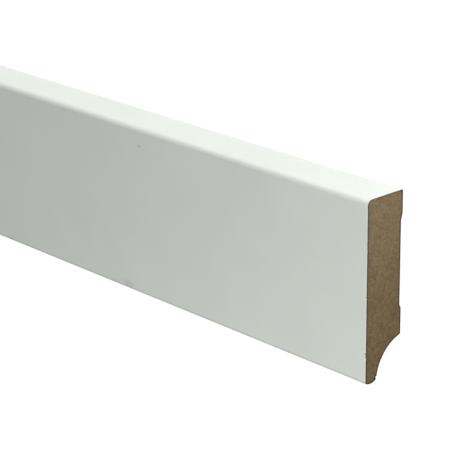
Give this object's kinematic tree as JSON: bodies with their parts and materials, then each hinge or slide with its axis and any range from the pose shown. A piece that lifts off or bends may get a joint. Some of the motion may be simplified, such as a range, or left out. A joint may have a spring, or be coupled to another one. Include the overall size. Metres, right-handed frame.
{
  "type": "skirting board",
  "caption": "Straight skirting board length with a rounded top edge, a shallow relief on its wall side and a cable cove behind its foot.",
  "frame": {"origin": "centre of the board's length and height, on the plane of the wall side pads that it lies on", "axes": "+X along the board to the end seen in the picture, +Y from the floor edge to the rounded top edge, +Z out of the wall to the front face"},
  "size_m": [2.4, 0.07, 0.018],
  "materials": {
    "skirting_board": "satin white film on fibreboard, bare on the sawn ends and the wall side"
  },
  "bodies": {
    "root": {"skirting_board": "skirting_board"}
  },
  "joints": []
}
